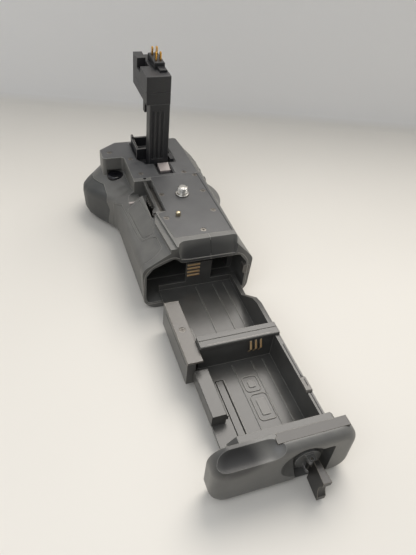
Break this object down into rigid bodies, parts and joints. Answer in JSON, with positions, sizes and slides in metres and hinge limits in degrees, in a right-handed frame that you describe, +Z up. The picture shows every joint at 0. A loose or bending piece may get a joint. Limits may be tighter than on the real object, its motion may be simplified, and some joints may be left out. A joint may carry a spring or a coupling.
{
  "type": "camera battery grip",
  "caption": "Battery grip for a camera: battery post, tripod screw with thumbwheel, and a sliding battery tray with a folding lock key",
  "frame": {"origin": "on the tripod screw's axis, in the plane of the seating plates that the camera stands on", "axes": "+X runs along the grip towards its closed far end, away from the tray's door; +Y is the front of the camera; +Z is up, along the tripod screw"},
  "size_m": [0.2635, 0.0851, 0.1127],
  "materials": {
    "housing_plastic": "warm dark grey satin plastic with a fine moulded grain",
    "post_plastic": "near black satin plastic",
    "control_plastic": "glossy black plastic",
    "tray_trim": "satin taupe plastic",
    "rubber_skin": "soft rubber covering with a fine grain",
    "plate_metal": "grey satin painted sheet metal",
    "bright_steel": "turned bright steel",
    "dark_steel": "darkened steel screws",
    "wheel_metal": "dark painted metal, knurled",
    "key_metal": "grey satin cast metal",
    "contact_brass": "gold plated brass",
    "light_plastic": "light warm grey plastic",
    "board_laminate": "glass fibre board with solder resist",
    "chip_plastic": "black moulded chip bodies",
    "ribbon_film": "amber polyimide film"
  },
  "bodies": {
    "root": {"front_shell": "housing_plastic", "rear_shell": "housing_plastic", "end_cover": "housing_plastic", "near_top_plate": "plate_metal", "far_top_plate": "plate_metal", "plate_screws": "dark_steel", "guide_pin": "contact_brass", "wheel_spindle": "bright_steel", "wheel_guard": "wheel_metal", "post_base": "post_plastic", "storage_pocket": "post_plastic", "base_tab": "light_plastic", "base_loop": "light_plastic", "post_leg": "post_plastic", "post_head_lower": "post_plastic", "post_head_upper": "post_plastic", "post_connector": "post_plastic", "post_blades": "contact_brass", "lock_strike": "bright_steel", "rim_tab": "housing_plastic", "dial_pin": "bright_steel", "circuit_board": "board_laminate", "board_chips": "chip_plastic", "ribbon_cable": "ribbon_film", "dock_block": "housing_plastic", "dock_contacts": "contact_brass", "tripod_bush": "contact_brass", "side_rubber_panel": "rubber_skin", "tongue_panel": "rubber_skin", "grip_rubber": "rubber_skin", "thumb_rubber": "rubber_skin", "foot_pads": "rubber_skin"},
    "tray": {"tray_frame": "housing_plastic", "crossbar_cap": "tray_trim", "tray_cover": "tray_trim", "tray_screw": "dark_steel", "near_contacts": "contact_brass", "far_contacts": "contact_brass", "rail_clip": "tray_trim", "door_cap": "housing_plastic", "door_ledge": "tray_trim"},
    "near_latch_body": {"near_latch": "tray_trim"},
    "far_latch_body": {"far_latch": "tray_trim"},
    "rotor": {"lock_rotor": "key_metal", "lock_cam": "bright_steel", "key_pin": "bright_steel"},
    "key": {"lock_key": "key_metal"},
    "wheel": {"thumbwheel": "wheel_metal", "tripod_screw": "bright_steel"},
    "shutter": {"shutter_button": "control_plastic"},
    "dial": {"main_dial": "wheel_metal"},
    "button_1": {"rear_button_1": "control_plastic"},
    "button_2": {"rear_button_2": "control_plastic"},
    "button_3": {"rear_button_3": "control_plastic"},
    "switch": {"power_switch": "control_plastic"}
  },
  "joints": [
    {"name": "tray_slide", "type": "slide", "parent": "root", "child": "tray", "axis": [1, 0, 0], "range_m": [0, 0.1153]},
    {"name": "lock_turn", "type": "hinge", "parent": "tray", "child": "rotor", "pos_m": [-0.169, -0.0105, -0.0354], "axis": [1, 0, 0], "range_deg": [0, 90]},
    {"name": "key_fold", "type": "hinge", "parent": "rotor", "child": "key", "pos_m": [-0.1729, -0.0105, -0.0354], "axis": [0, 0, -1], "range_deg": [0, 88]},
    {"name": "wheel_turn", "type": "hinge", "parent": "root", "child": "wheel", "pos_m": [0, 0, 0], "axis": [0, 0, 1], "continuous": true},
    {"name": "near_latch_slide", "type": "slide", "parent": "tray", "child": "near_latch_body", "axis": [0, 1, 0], "range_m": [0, 0.0016], "stiffness_N_per_m": 400, "springref_m": -0.001},
    {"name": "far_latch_slide", "type": "slide", "parent": "tray", "child": "far_latch_body", "axis": [0, 1, 0], "range_m": [0, 0.0016], "stiffness_N_per_m": 400, "springref_m": -0.001},
    {"name": "shutter_press", "type": "slide", "parent": "root", "child": "shutter", "axis": [0, 0, -1], "range_m": [0, 0.0012], "stiffness_N_per_m": 800, "springref_m": -0.0005},
    {"name": "dial_turn", "type": "hinge", "parent": "root", "child": "dial", "pos_m": [0.0675, 0.03, -0.0155], "axis": [0, 0, 1], "continuous": true},
    {"name": "rear_press_1", "type": "slide", "parent": "root", "child": "button_1", "axis": [0, 1, 0], "range_m": [0, 0.0008], "stiffness_N_per_m": 800, "springref_m": -0.0005},
    {"name": "rear_press_2", "type": "slide", "parent": "root", "child": "button_2", "axis": [0, 1, 0], "range_m": [0, 0.0008], "stiffness_N_per_m": 800, "springref_m": -0.0005},
    {"name": "rear_press_3", "type": "slide", "parent": "root", "child": "button_3", "axis": [0, 1, 0], "range_m": [0, 0.0008], "stiffness_N_per_m": 800, "springref_m": -0.0005},
    {"name": "switch_turn", "type": "hinge", "parent": "root", "child": "switch", "pos_m": [0.075, 0.012, -0.022], "axis": [1, 0, 0], "range_deg": [0, 35]}
  ],
  "couplings": [
    {"joint": "key_fold", "follows": "lock_turn", "ratio": 0.9777}
  ]
}
